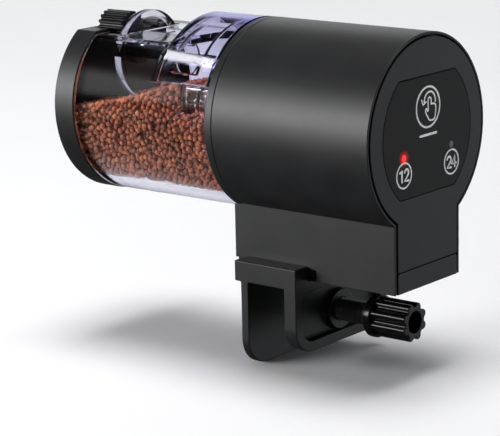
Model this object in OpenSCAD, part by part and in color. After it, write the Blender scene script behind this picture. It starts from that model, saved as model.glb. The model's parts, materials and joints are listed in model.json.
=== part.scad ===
// Automatic aquarium fish feeder: a battery-driven food drum on a rim clamp.
// The drum turns over once for each feed and drops a dose through its outlet slot.
// Origin: centre of the clamp saddle's underside, where the tank rim seats.
// +X runs along the drum axis towards the control panel, +Z is up, millimetres.

/* [Housing] */
// Height of the drum axis above the tank rim
axis_height = 51.7; // [51.5:0.1:53]
// Outer radius of the round housing
housing_r = 32.5; // [32.3:0.1:32.7]
// Position of the flat front face
front_x = 47.2; // [47:0.1:50]
// Wall thickness of the housing shell
housing_wall = 2.0; // [1.6:0.1:2]
// Width of the base block under the round housing
base_width = 36.2; // [36:0.1:37]
// Radius of the gloss touch panel before its top and bottom are cut flat
panel_r = 24.3; // [22:0.1:25]

/* [Drum] */
// Outer radius of the clear drum
drum_r = 31.9; // [31.8:0.1:32.2]
// Wall thickness of the drum where it is round
drum_wall = 3.1; // [2.6:0.1:3.2]
// Height of the drum's flat above the drum axis
flat_height = 24.7; // [24:0.1:25]
// Angle from horizontal to the fill door's lower edge
door_edge_angle = 24.3; // [22:0.1:30]

/* [Dosing regulator] */
// Radius of the ribbed grip that sets the dose
grip_r = 5.6; // [5:0.1:5.8]
// Height of the regulator shaft above the drum axis
shaft_height = 15.8; // [15.6:0.1:15.9]
// Number of ribs round the grip
grip_ribs = 16; // [12:1:20]

/* [Rim clamp] */
// Width of the clamp across the tank rim
clamp_width = 50; // [46:1:60]
// Widest glass that fits between the clamp's legs
jaw_gap = 15; // [14:0.5:15]
// Distance from the rim seat down to the screw axis
screw_drop = 11.4; // [11:0.1:13]
// Radius of the clamp screw's thread
screw_r = 3.9; // [3.7:0.1:4]
// Number of lobes round the clamp knob
knob_lobes = 8; // [6:1:10]

/* [Hidden] */
$fn = 96;

// Colours
BLACK = [0.10, 0.10, 0.11];
GLOSS_BLACK = [0.04, 0.04, 0.045];
CLEAR = [0.80, 0.80, 0.92, 0.35];
STEEL = [0.72, 0.73, 0.75];
BRASS = [0.80, 0.65, 0.35];
NYLON = [0.92, 0.92, 0.88];

// Running clearance of a shaft in its bore
run = 0.05;
// Clearance between moving faces that are not a fit
gap = 0.3;

// Housing stations along X
rear_x = -18.2;
shell_rear = -15.2;
cover_thick = 2.0;
rebate_x = front_x - 2.2;
shell_front = front_x - 0.2;
rim_wall = 0.9;
cover_inset = 1.5;
base_bottom = 2.2;
base_rear = -18.0;
bay_half = 15.6;
door_lip_top = 9.1;
panel_top = 18.7;
panel_bottom = -19.1;
panel_thick = 0.7;
groove_depth = 1.4;
groove_low = 2.9;
groove_high = 6.0;
groove_end = 15.6;
spigot_r = housing_r - housing_wall - 0.2;
spigot_wall = 1.5;
cover_screw_circle = 27.8;
cover_screw_angles = [30, 200, 290];

// Touch keys and lamps on the panel: [y, z from the drum axis]
key_places = [[0.3, 8.6], [-13.1, -11.3], [13.4, -11.4]];
lamp_12h = [-13.1, -5.9];
lamp_24h = [13.2, -5.7];
lamp_r = 1.25;

// Control board
board_x = 40.6;
board_thick = 1.6;
board_r = 27;
board_flat = 24;
board_screw_circle = 23.5;

// Gear train: module and tooth counts, then the shafts as [y, z from the drum axis]
gear_module = 0.5;
output_teeth = 48;
wheel_teeth = 40;
pinion_teeth = 10;
second_angle = 60;
first_angle = 160;
motor_angle = 215;
output_spread = gear_module * (output_teeth + pinion_teeth) / 2;
stage_spread = gear_module * (wheel_teeth + pinion_teeth) / 2;
second_at = output_spread * [cos(second_angle), sin(second_angle)];
first_at = second_at + stage_spread * [cos(first_angle), sin(first_angle)];
motor_at = first_at + stage_spread * [cos(motor_angle), sin(motor_angle)];
axle_r = 1.0;
plate_x = -3.0;
plate_thick = 2.0;
plate_r = 29.0;
post_places = [[20, 0], [0, -20], [-18, -10]];
motor_r = 10.0;
motor_front = 22.0;
hub_shaft_r = 3.0;
bush_r = 5.0;
hex_r = 7.0;
magnet_r = 1.5;
magnet_at = [0, -8.5];

// Battery bay: two AA cells side by side
cell_r = 7.25;
cell_y = 7.6;
cell_z = 12.2;

// Drum stations along X
cap_end = -85.6;
cap_mouth = -76.8;
cap_r = 32.1;
cap_floor = 2.0;
cap_flat = flat_height + 1.0;
cup_r = 30.4;
cup_flat = flat_height - 1.1;
spigot_end = -83.4;
drum_spigot_r = 30.2;
drum_inner_r = drum_r - drum_wall;
flat_inside = flat_height - 2.4;
step_x = -41.5;
drum_front = -18.6;
drum_front_wall = 2.0;
front_wall_x = drum_front - drum_front_wall;
recess_r = 30.7;
recess_end_angle = 232;
door_r = housing_r;
door_thick = 1.5;
window_low = -38;
window_high = -26.5;
window_from = 32;
window_to = 92;
socket_r = 9.5;
socket_depth = 4.8;

// Regulator stations along X
grip_x0 = -82.9;
grip_x1 = -72.1;
grip_at = [-6, 25.8];
grip_foot = 8.6;
grip_slot = 12.3;
flange_x0 = -71.4;
flange_x1 = -68.3;
flange_r = 15.5;
flange_slot = 14.5;
shaft_r = 1.75;
gate_r = 6.2;
gate_end = -51.5;
bearing_r = 3.6;

// Clamp stations
saddle_x0 = -13.0;
saddle_x1 = 12.4;
saddle_top = 7.0;
saddle_floor = 2.0;
inner_leg_thick = 3.0;
inner_leg_low = -29.2;
outer_leg_low = -22.2;
outer_web = 2.5;
leg_rim = 3.6;
screw_boss_r = 6.8;
pad_neck_r = 5.2;
pad_face = -2.0;
collar_x = 23.5;
flange_x = 26.0;
grip_x = 28.5;
knob_end = 42.0;
knob_r = 6.6;

// ---------- Shared shapes ----------

// Extrudes a y-z outline along X from x0 to x1
module along_x(x0, x1) {
    translate([x0, 0, 0]) rotate([90, 0, 90]) linear_extrude(x1 - x0) children();
}

// Round bar along X, placed from the drum axis
module rod(x0, x1, r, at = [0, 0]) {
    translate([x0, at[0], axis_height + at[1]]) rotate([0, 90, 0]) cylinder(h = x1 - x0, r = r);
}

// Tube along X, placed from the drum axis
module tube(x0, x1, outer, inner, at = [0, 0]) {
    difference() {
        rod(x0, x1, outer, at);
        rod(x0 - 1, x1 + 1, inner, at);
    }
}

// Round bar along X, placed from the rim seat
module clamp_rod(x0, x1, r) rod(x0, x1, r, [0, -screw_drop - axis_height]);

// Box between two opposite corners
module block(low, high) translate(low) cube(high - low);

// Disc on the drum axis, cut flat at a height above it
module cut_disc(r, top) {
    intersection() {
        translate([0, axis_height]) circle(r);
        translate([-r - 1, axis_height - r - 1]) square([2 * r + 2, r + 1 + top]);
    }
}

// Sector of the y-z plane; angles rise from the near side (-Y) over the top
module sector(from, to, reach = 45) {
    steps = ceil((to - from) / 20);
    arc = [for (i = [0 : steps]) from + (to - from) * i / steps];
    translate([0, axis_height])
        polygon(concat([[0, 0]], [for (a = arc) reach * [-cos(a), sin(a)]]));
}

// Front outline of the housing: a circle on a rectangular base, drawn in by inset
module housing_outline(inset) {
    translate([0, axis_height]) circle(housing_r - inset);
    translate([-base_width / 2 + inset, base_bottom + inset])
        square([base_width - 2 * inset, axis_height - base_bottom - inset]);
}

// Spur gear outline with straight-sided teeth and working backlash
module gear_outline(teeth, phase) {
    pitch_r = gear_module * teeth / 2;
    step = 360 / teeth;
    // [radius, half angle as a share of the tooth step], root to tip
    flank = [
        [pitch_r - 1.10 * gear_module, 0.29],
        [pitch_r, 0.205],
        [pitch_r + 0.75 * gear_module, 0.10]
    ];
    profile = [for (side = [-1, 1]) for (k = [0 : 2]) let (p = flank[side < 0 ? k : 2 - k]) [p[0], side * p[1]]];
    polygon([
        for (t = [0 : teeth - 1]) for (p = profile)
            let (a = phase + step * (t + p[1])) p[0] * [cos(a), sin(a)]
    ]);
}

// Spur gear along X on the shaft at a place measured from the drum axis
module gear(x0, x1, teeth, at, phase = 0) {
    translate([0, at[0], axis_height + at[1]]) along_x(x0, x1) gear_outline(teeth, phase);
}

// Round-wire spring along X, placed from the drum axis
module coil_spring(x0, x1, r, wire, turns, at) {
    sides = 6;
    per_turn = 12;
    steps = turns * per_turn;
    run_length = x1 - x0 - wire;
    points = [
        for (i = [0 : steps]) for (j = [0 : sides - 1])
            let (a = 360 * i / per_turn, b = 360 * j / sides, reach = r + wire / 2 * cos(b))
            [x0 + wire / 2 + run_length * i / steps + wire / 2 * sin(b),
             at[0] + reach * cos(a), axis_height + at[1] + reach * sin(a)]
    ];
    walls = [
        for (i = [0 : steps - 1]) for (j = [0 : sides - 1])
            let (k = (j + 1) % sides, p = i * sides, q = p + sides)
            each [[p + j, p + k, q + k], [p + j, q + k, q + j]]
    ];
    ends = [
        [for (j = [sides - 1 : -1 : 0]) j],
        [for (j = [0 : sides - 1]) steps * sides + j]
    ];
    polyhedron(points, concat(walls, ends));
}

// ---------- Rim clamp ----------

// Plate across the rim with rounded lower corners
module leg_outline(low, corner, inset = 0) {
    half = clamp_width / 2 - inset;
    r = corner - inset;
    translate([-half + r, low + inset]) square([2 * (half - r), -low]);
    translate([-half, low + inset + r]) square([2 * half, -low - r]);
    for (side = [-1, 1]) translate([side * (half - r), low + inset + r]) circle(r);
}

module bracket_body() difference() {
    union() {
        block([saddle_x0, -clamp_width / 2, 0], [saddle_x1, clamp_width / 2, saddle_top]);
        along_x(-jaw_gap / 2 - inner_leg_thick, -jaw_gap / 2)
            intersection() {
                leg_outline(inner_leg_low, 9.7);
                translate([-50, inner_leg_low]) square([100, -inner_leg_low + 0.5]);
            }
        along_x(jaw_gap / 2, saddle_x1)
            intersection() {
                leg_outline(outer_leg_low, 9);
                translate([-50, outer_leg_low]) square([100, -outer_leg_low + 0.5]);
            }
    }
    // Channel that the feeder's base slides into
    channel_half = base_width / 2 + gap;
    block([saddle_x0 - 1, -channel_half, saddle_floor], [saddle_x1 + 1, channel_half, saddle_top + 1]);
    // Recess in the outer leg, leaving its rim and the screw boss
    difference() {
        along_x(jaw_gap / 2 + outer_web, saddle_x1 + 1)
            intersection() {
                leg_outline(outer_leg_low, 9, leg_rim);
                translate([-50, outer_leg_low]) square([100, -outer_leg_low - leg_rim / 2]);
            }
        clamp_rod(0, saddle_x1 + 2, screw_boss_r);
    }
    // Threaded hole and the pocket that takes the pad's neck
    clamp_rod(0, saddle_x1 + 1, screw_r + run);
    clamp_rod(0, jaw_gap / 2 + 3.2, pad_neck_r + gap);
}

// Rails in the channel's side walls, which run in the base's grooves
module bracket_rails() for (side = [-1, 1]) {
    rail_in = base_width / 2 - groove_depth + gap;
    rail_out = base_width / 2 + gap + 0.2;
    mirror([0, side < 0 ? 1 : 0, 0])
        block([saddle_x0, rail_in, groove_low + 0.2], [saddle_x1, rail_out, groove_high - 0.2]);
}

module clamp_bracket() color(BLACK) {
    bracket_body();
    bracket_rails();
}

module clamp_pad() color(BLACK) difference() {
    union() {
        clamp_rod(pad_face, pad_face + 3, 6.5);
        clamp_rod(pad_face + 2.9, pad_face + 6, pad_neck_r);
    }
    clamp_rod(pad_face + 3.5, pad_face + 7, screw_r + run);
}

module clamp_screw() color(GLOSS_BLACK) {
    clamp_rod(pad_face + 3.7, collar_x + 0.1, screw_r);
    clamp_rod(collar_x, flange_x, 4.8);
    clamp_rod(flange_x - 0.1, grip_x + 6, 2.4);
}

// Round core with a ring of rounded lobes
module lobed_outline() translate([0, -screw_drop]) {
    circle(knob_r - 1.3);
    for (i = [0 : knob_lobes - 1]) rotate(360 * (i + 0.5) / knob_lobes)
        translate([0, knob_r - 1.5]) circle(1.5);
}

module clamp_knob() color(GLOSS_BLACK) difference() {
    union() {
        clamp_rod(flange_x, grip_x, 7.2);
        along_x(grip_x, knob_end) lobed_outline();
    }
    clamp_rod(flange_x - 1, grip_x + 6.1, 2.42);
    clamp_rod(knob_end - 5.5, knob_end + 1, 3.6);
}

// ---------- Housing ----------

module housing_shell() color(BLACK) difference() {
    union() {
        along_x(shell_rear, shell_front) difference() {
            housing_outline(0);
            translate([0, axis_height]) circle(housing_r - housing_wall);
            // Battery bay below the round wall
            difference() {
                translate([-bay_half, 0]) square([2 * bay_half, axis_height - 22]);
                translate([0, axis_height]) circle(housing_r);
            }
        }
        // Rear wall of the battery bay
        along_x(base_rear, shell_rear + 0.1) difference() {
            translate([-base_width / 2, base_bottom]) square([base_width, 24]);
            translate([0, axis_height]) circle(housing_r + gap);
        }
        // Bulkhead behind the front contacts
        block([41.9, -bay_half - 0.2, 4.8], [43.4, bay_half + 0.2, 19.5]);
        for (side = [-1, 1]) mirror([0, side < 0 ? 1 : 0, 0]) {
            // Lip that carries the battery door, and the rib that holds it down
            block([base_rear + 1, bay_half - 1.2, base_bottom], [rebate_x, bay_half + 0.2, base_bottom + 1]);
            block([base_rear + 1, bay_half - 0.8, 4.7], [rebate_x, bay_half + 0.2, 5.5]);
        }
        // Bosses for the rear cover's screws
        for (a = cover_screw_angles)
            rod(-11.8, -5, 3, cover_screw_circle * [cos(a), sin(a)]);
    }
    // Rebate that takes the front cover
    along_x(rebate_x, front_x + 1) housing_outline(rim_wall);
    block([rebate_x, -base_width / 2 + rim_wall, 0], [front_x + 1, base_width / 2 - rim_wall, door_lip_top]);
    // Grooves for the clamp's rails, open at the rear
    for (side = [-1, 1]) mirror([0, side < 0 ? 1 : 0, 0])
        block([base_rear - 1, base_width / 2 - groove_depth, groove_low], [groove_end, base_width / 2 + 1, groove_high]);
    for (a = cover_screw_angles)
        rod(-12.8, -6, 1.12, cover_screw_circle * [cos(a), sin(a)]);
    // Holes for the battery leads
    for (side = [-1, 1]) translate([41.4, side * cell_y, 19]) cylinder(h = 5, r = 0.9);
}

module rear_cover() color(BLACK) difference() {
    union() {
        rod(rear_x, rear_x + cover_thick, housing_r);
        tube(rear_x + cover_thick - 0.1, shell_rear - 0.1, housing_r, spigot_r - spigot_wall);
        tube(shell_rear - 0.2, shell_rear + 3.2, spigot_r, spigot_r - spigot_wall);
        rod(rear_x, -14.9, bush_r + 2);
        for (p = post_places) rod(rear_x + 1, plate_x, 2.5, p);
        for (p = [first_at, second_at]) rod(rear_x + 1, shell_rear - 0.1, 2.4, p);
    }
    rod(rear_x - 1, 0, bush_r);
    for (p = post_places) rod(plate_x - 6, plate_x + 1, 0.82, p);
    for (p = [first_at, second_at]) rod(rear_x + 0.9, 0, axle_r, p);
    for (a = cover_screw_angles) {
        rod(rear_x - 1, -10, 1.2, cover_screw_circle * [cos(a), sin(a)]);
        countersink(cover_screw_circle * [cos(a), sin(a)], 0.05);
    }
}

// Conical seat or head of a rear cover screw, grown by extra
module countersink(at, extra = 0) {
    translate([rear_x - 0.01, at[0], axis_height + at[1]]) rotate([0, 90, 0])
        cylinder(h = 1.2, r1 = 2.2 + extra, r2 = 1.1 + extra);
}

module rear_cover_screws() color(STEEL) for (a = cover_screw_angles) {
    at = cover_screw_circle * [cos(a), sin(a)];
    difference() {
        union() {
            translate([0.03, 0, 0]) countersink(at);
            rod(rear_x + 1, -6.5, 1.1, at);
        }
        // Cross recess
        for (turn = [0, 90]) translate([rear_x, at[0], axis_height + at[1]]) rotate([turn, 0, 0])
            cube([1.4, 2.2, 0.5], center = true);
    }
}

module front_cover() color(BLACK) difference() {
    union() {
        along_x(front_x - cover_thick, front_x) intersection() {
            housing_outline(cover_inset);
            translate([-40, door_lip_top + 0.2]) square(80);
        }
        for (i = [0 : 2]) rod(board_x + board_thick, front_x - 1, 2.2, board_screw_place(i));
    }
    along_x(front_x - panel_thick - 0.1, front_x + 1) panel_outline(0.15);
    for (i = [0 : 2]) rod(board_x, front_x - 1.2, 0.82, board_screw_place(i));
    for (lamp = [lamp_12h, lamp_24h]) rod(40, front_x + 1, lamp_r + 0.05, lamp);
}

function board_screw_place(i) = board_screw_circle * [cos(90 + 120 * i), sin(90 + 120 * i)];

module panel_outline(grow = 0) {
    intersection() {
        translate([0, axis_height]) circle(panel_r + grow);
        translate([-40, axis_height + panel_bottom - grow])
            square([80, panel_top - panel_bottom + 2 * grow]);
    }
}

module touch_panel() color(GLOSS_BLACK) difference() {
    along_x(front_x - panel_thick, front_x) panel_outline();
    for (lamp = [lamp_12h, lamp_24h]) rod(40, front_x + 1, lamp_r + 0.05, lamp);
}

module led_lens_12h() color([0.9, 0.05, 0.05]) rod(43.8, front_x + 0.1, lamp_r, lamp_12h);

module led_lens_24h() color([0.35, 0.36, 0.38]) rod(43.8, front_x + 0.1, lamp_r, lamp_24h);

// Sliding tray that closes the battery bay, with its lip in the front face
module battery_door() color(BLACK) {
    half = base_width / 2 - cover_inset;
    difference() {
        block([front_x - cover_thick, -half, base_bottom], [front_x, half, door_lip_top]);
        for (side = [-1, 1]) mirror([0, side < 0 ? 1 : 0, 0])
            translate([0, half - 1, door_lip_top - 1]) difference() {
                block([front_x - 3, 0, 0], [front_x + 1, 2, 2]);
                translate([front_x - 4, 0, 0]) rotate([0, 90, 0]) cylinder(h = 6, r = 1);
            }
    }
    block([-14.8, -bay_half + 1.5, base_bottom], [front_x - cover_thick + 0.1, bay_half - 1.5, 4.4]);
    block([-14.8, -bay_half + 0.3, 3.4], [front_x - cover_thick + 0.1, bay_half - 0.3, 4.4]);
}

// ---------- Power ----------

// AA cell along X: can from x0 to x1, with its button beyond x1 or before x0
module cell(x0, x1, y, button_x0, button_x1) {
    at = [y, cell_z - axis_height];
    rod(x0, x1, cell_r, at);
    rod(button_x0, button_x1, 2.75, at);
}

module battery_left() color([0.15, 0.35, 0.65]) cell(-9.5, 40.0, -cell_y, 39.9, 41.0);

module battery_right() color([0.15, 0.35, 0.65]) cell(-13.2, 36.3, cell_y, -14.2, -13.1);

module battery_springs() color(STEEL) {
    coil_spring(-14.6, -9.7, 4, 0.7, 4, [-cell_y, cell_z - axis_height]);
    coil_spring(36.5, 41.1, 4, 0.7, 4, [cell_y, cell_z - axis_height]);
}

module battery_contacts() color(STEEL) {
    block([-15.0, -13.5, 6], [-14.65, 13.5, 18]);
    for (side = [-1, 1])
        translate([0, side * cell_y, 0]) block([41.15, -5.5, 6], [41.65, 5.5, 18]);
}

module battery_leads() for (side = [-1, 1])
    color(side < 0 ? [0.8, 0.1, 0.1] : [0.05, 0.05, 0.05])
        translate([41.4, side * cell_y, 18]) cylinder(h = axis_height - board_flat - 18, r = 0.5);

// ---------- Gearbox ----------

module gearbox_plate() color(NYLON) difference() {
    union() {
        rod(plate_x, plate_x + plate_thick, plate_r);
        tube(plate_x, 3, motor_r + 0.9, motor_r + 0.15, motor_at);
        rod(-9.6, plate_x + 1, 2.5, magnet_at);
    }
    rod(-10, 5, hub_shaft_r + run);
    for (p = [first_at, second_at]) rod(-10, 5, axle_r, p);
    rod(-10, 5, 3.05, motor_at);
    for (p = post_places) rod(-10, 5, 1.05, p);
}

module gearbox_screws() color(STEEL) for (p = post_places) {
    rod(plate_x - 5, plate_x + plate_thick + 0.1, 0.8, p);
    rod(plate_x + plate_thick, plate_x + plate_thick + 1.2, 1.9, p);
}

module gear_axles() color(STEEL) for (p = [first_at, second_at])
    rod(rear_x + 1, plate_x + plate_thick, axle_r, p);

module output_bush() color(BRASS) tube(rear_x + 0.2, -14.9, bush_r, hub_shaft_r + run);

module motor() color(STEEL) difference() {
    union() {
        intersection() {
            rod(plate_x + plate_thick + 0.1, motor_front, motor_r, motor_at);
            translate([0, motor_at[0], axis_height + motor_at[1]])
                block([-5, -motor_r - 1, -8], [40, motor_r + 1, 8]);
        }
        rod(plate_x + 0.1, plate_x + plate_thick + 0.2, 3.0, motor_at);
        for (side = [-1, 1]) translate([motor_front, motor_at[0] + 6 * side, axis_height + motor_at[1]])
            block([-0.1, -1, -0.25], [2.5, 1, 0.25]);
    }
    rod(plate_x - 1, plate_x + 6, axle_r + run, motor_at);
}

module motor_leads() for (side = [-1, 1]) color(side < 0 ? [0.8, 0.1, 0.1] : [0.1, 0.1, 0.6])
    rod(motor_front + 2.5, board_x, 0.5, motor_at + [6 * side, 0]);

module motor_pinion() color(BRASS) {
    gear(-8.2, -5, pinion_teeth, motor_at, motor_angle - 180 + 180 / pinion_teeth);
    rod(-8.4, plate_x + 5, axle_r, motor_at);
}

// Wheel and pinion moulded together, loose on an axle
module first_gear() color(NYLON) difference() {
    union() {
        gear(-8, -6, wheel_teeth, first_at, motor_angle);
        gear(-12, -7.9, pinion_teeth, first_at, first_angle - 180 + 180 / pinion_teeth);
    }
    rod(-20, 0, axle_r + run, first_at);
}

module second_gear() color(NYLON) difference() {
    union() {
        gear(-11.5, -9.5, wheel_teeth, second_at, first_angle);
        gear(-14.7, -11.4, pinion_teeth, second_at, second_angle - 180 + 180 / pinion_teeth);
    }
    rod(-20, 0, axle_r + run, second_at);
}

module output_gear() color(NYLON) difference() {
    gear(-14.4, -12.2, output_teeth, [0, 0], second_angle);
    rod(-20, 0, hub_shaft_r);
    rod(-13.7, -12, magnet_r, magnet_at);
}

module position_magnet() color(STEEL) rod(-13.7, -12.2, magnet_r, magnet_at);

module position_sensor() color(GLOSS_BLACK)
    translate([0, magnet_at[0], axis_height + magnet_at[1]]) block([-11.0, -2, -1.5], [-9.6, 2, 1.5]);

// Output shaft with the hexagonal boss that carries the drum
module drive_hub() color(BLACK) {
    translate([-23.0, 0, axis_height]) rotate([0, 90, 0]) cylinder(h = 4.2, r = hex_r, $fn = 6);
    rod(-18.9, plate_x + plate_thick + 0.5, hub_shaft_r);
}

// ---------- Electronics ----------

module control_board() color([0.10, 0.32, 0.20]) difference() {
    along_x(board_x, board_x + board_thick) intersection() {
        translate([0, axis_height]) circle(board_r);
        translate([-40, axis_height - board_flat]) square([80, 2 * board_flat + 1]);
    }
    for (i = [0 : 2]) rod(39, 44, 0.9, board_screw_place(i));
}

module board_chips() color(GLOSS_BLACK) translate([0, 0, axis_height]) {
    block([board_x - 1.6, -4, -8], [board_x, 4, -3]);
    block([board_x - 1.4, 8, 2], [board_x, 12, 6]);
    block([board_x - 3, -12, -18], [board_x, -8, -14]);
    translate([board_x - 5.5, 14, -14]) rotate([0, 90, 0]) cylinder(h = 5.5, r = 3.2);
}

module board_screws() color(STEEL) for (i = [0 : 2]) {
    rod(board_x - 0.1, front_x - 1.6, 0.8, board_screw_place(i));
    rod(board_x - 1.2, board_x, 1.8, board_screw_place(i));
}

module indicator_leds() color([0.9, 0.9, 0.85]) for (lamp = [lamp_12h, lamp_24h])
    translate([0, lamp[0], axis_height + lamp[1]])
        block([board_x + board_thick, -1, -0.8], [board_x + board_thick + 1.2, 1, 0.8]);

module touch_springs() color(STEEL) for (key = key_places)
    coil_spring(board_x + board_thick, front_x - cover_thick, 2.6, 0.5, 3, key);

// ---------- Drum ----------

// Outer outline of the drum's round length, with the recess that the fill door slides in
module round_outline() {
    difference() {
        translate([0, axis_height]) circle(drum_r);
        difference() {
            sector(door_edge_angle - 0.6, recess_end_angle);
            translate([0, axis_height]) circle(recess_r);
        }
    }
}

module drum() color(CLEAR) difference() {
    union() {
        // Spigot that the cap grips
        along_x(spigot_end, cap_mouth) difference() {
            cut_disc(drum_spigot_r, cup_flat - 0.2);
            cut_disc(drum_inner_r, flat_inside);
        }
        // Length with the flat
        along_x(cap_mouth, step_x - drum_front_wall) difference() {
            cut_disc(drum_r, flat_height);
            cut_disc(drum_inner_r, flat_inside);
        }
        // Step up from the flat to the round length
        along_x(step_x - drum_front_wall, step_x) difference() {
            round_outline();
            cut_disc(drum_inner_r, flat_inside);
        }
        // Round length, with the fill window through its middle
        for (span = [[step_x, window_low], [window_low, window_high], [window_high, front_wall_x]])
            along_x(span[0], span[1]) difference() {
                round_outline();
                translate([0, axis_height]) circle(drum_inner_r);
                if (span[0] == window_low) sector(window_from, window_to);
            }
        along_x(front_wall_x, drum_front) round_outline();
        rod(front_wall_x - socket_depth, front_wall_x, socket_r);
        rod(front_wall_x - 3.4, front_wall_x, bearing_r, [0, shaft_height]);
        door_catch();
    }
    // Slots for the regulator's grip and flange and the outlet slot, all in the flat
    block([spigot_end - 1, -grip_slot, axis_height + flat_inside - 2],
          [flange_x0 - 0.3, grip_slot, axis_height + flat_height + 1]);
    block([flange_x0 - 0.4, -flange_slot, axis_height + flat_inside - 2],
          [flange_x1 + 0.4, flange_slot, axis_height + flat_height + 1]);
    block([-65.5, -4.5, axis_height + flat_inside - 1], [-53.5, 4.5, axis_height + flat_height + 1]);
    // Hexagonal socket for the drive hub
    translate([-23.6, 0, axis_height]) rotate([0, 90, 0]) cylinder(h = 10, r = hex_r + 0.2, $fn = 6);
    rod(front_wall_x - 5, front_wall_x - 0.3, shaft_r + run, [0, shaft_height]);
}

// Small ribbed catch inside the near wall, below the door's closed edge
module door_catch() intersection() {
    rod(-40, -20, drum_inner_r + 0.5);
    translate([0, 0, axis_height]) union() {
        block([-32.3, -29, 10.8], [-20.5, -24.6, 12]);
        block([-32.3, -29, 3], [-31.1, -24.6, 11]);
        block([-24.5, -29, 3], [-23.3, -24.6, 11]);
    }
}

module end_cap() color(BLACK) difference() {
    union() {
        difference() {
            along_x(cap_end, cap_mouth - 0.1) cut_disc(cap_r, cap_flat);
            along_x(cap_end + cap_floor, cap_mouth + 1) cut_disc(cup_r, cup_flat);
        }
        rod(cap_end + 1, grip_x0 + 1.2, bearing_r, [0, shaft_height]);
    }
    rod(cap_end + 0.8, cap_mouth, shaft_r + run, [0, shaft_height]);
    // Slot that lets the regulator's grip through the flat
    block([grip_x0 - 0.7, -grip_slot, axis_height + cup_flat - 1],
          [cap_mouth + 1, grip_slot, axis_height + cap_flat + 1]);
}

// Heap of food: level near the cap, rising towards the fill door
module food_pellets() color([0.45, 0.20, 0.12]) difference() {
    intersection() {
        rod(spigot_end + 0.2, front_wall_x - 0.5, drum_inner_r - 0.4);
        translate([0, 0, axis_height]) rotate([90, 0, 0]) linear_extrude(80, center = true)
            polygon([[-84, -40], [-84, 0.5], [-66, 3.5], [-52, 7.0], [-41, 10.8], [-34, 11.8], [-32.9, 2.7],
                     [-20, 1.8], [-20, -40]]);
    }
    rod(-90, flange_x1 + 0.9, flange_r + 0.9, [0, shaft_height]);
    rod(-26.2, 0, socket_r + 0.7);
}

module fill_door() color(CLEAR) along_x(step_x + gap, drum_front - 0.6) difference() {
    sector(door_edge_angle, 180 - door_edge_angle);
    translate([0, axis_height]) circle(door_r - door_thick);
    difference() {
        translate([-60, axis_height - 60]) square(120);
        translate([0, axis_height]) circle(door_r);
    }
}

// ---------- Dosing regulator ----------

// Ribbed grip on an arm, which swings from side to side in the slot in the flat
module regulator_grip() color(GLOSS_BLACK) difference() {
    step = 360 / grip_ribs;
    arm = grip_at - [0, shaft_height];
    union() {
        // Ribbed barrel, hollowed below so that it clears the drum's flat
        difference() {
            translate([0, grip_at[0], axis_height + grip_at[1]]) along_x(grip_x0, grip_x1) polygon([
                for (i = [0 : grip_ribs - 1])
                    for (p = [[0.8, -0.36], [0, -0.2], [0, 0.2], [0.8, 0.36]])
                        let (a = step * (i + p[1])) (grip_r - p[0]) * [cos(a), sin(a)]
            ]);
            rod(grip_x0 - 1, grip_x1 + 1, grip_foot, [0, shaft_height]);
        }
        rod(grip_x0 + 1.5, grip_x1 - 1, 3.8, [0, shaft_height]);
        translate([0, 0, axis_height + shaft_height]) along_x(grip_x0 + 1.5, grip_x1 - 1)
            rotate(atan2(arm[1], arm[0])) translate([0, -2]) square([norm(arm), 4]);
    }
    rod(grip_x0 - 1, grip_x1 + 1, shaft_r, [0, shaft_height]);
}

module regulator_shaft() color(GLOSS_BLACK) rod(cap_end + 1, front_wall_x - 0.5, shaft_r, [0, shaft_height]);

// Clear flange beside the grip, and the curved gate that covers the outlet slot
module dosing_gate() color(CLEAR) difference() {
    at = [0, shaft_height];
    web_x = flange_x1 - 1.4;
    union() {
        rod(flange_x0, web_x, flange_r, at);
        tube(web_x, flange_x1, flange_r, flange_r - 2.2, at);
        rod(gate_end - 1.2, gate_end, gate_r, at);
        difference() {
            rod(web_x, gate_end - 1.2, gate_r, at);
            rod(web_x - 0.1, gate_end - 1, gate_r - 1.1, at);
            translate([0, 0, shaft_height]) along_x(web_x - 0.1, gate_end - 1) sector(140, 400);
        }
    }
    rod(flange_x0 - 1, gate_end + 1, shaft_r, at);
}

// ---------- Assembly ----------

clamp_bracket();
clamp_pad();
clamp_screw();
clamp_knob();
housing_shell();
rear_cover();
rear_cover_screws();
front_cover();
touch_panel();
led_lens_12h();
led_lens_24h();
battery_door();
battery_left();
battery_right();
battery_springs();
battery_contacts();
battery_leads();
gearbox_plate();
gearbox_screws();
gear_axles();
output_bush();
motor();
motor_leads();
motor_pinion();
first_gear();
second_gear();
output_gear();
position_magnet();
position_sensor();
drive_hub();
control_board();
board_chips();
board_screws();
indicator_leds();
touch_springs();
drum();
end_cap();
food_pellets();
fill_door();
regulator_grip();
regulator_shaft();
dosing_gate();
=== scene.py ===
import json
import math

import bmesh
import bpy
import numpy as np
from mathutils import Matrix, Vector
from mathutils.kdtree import KDTree

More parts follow.
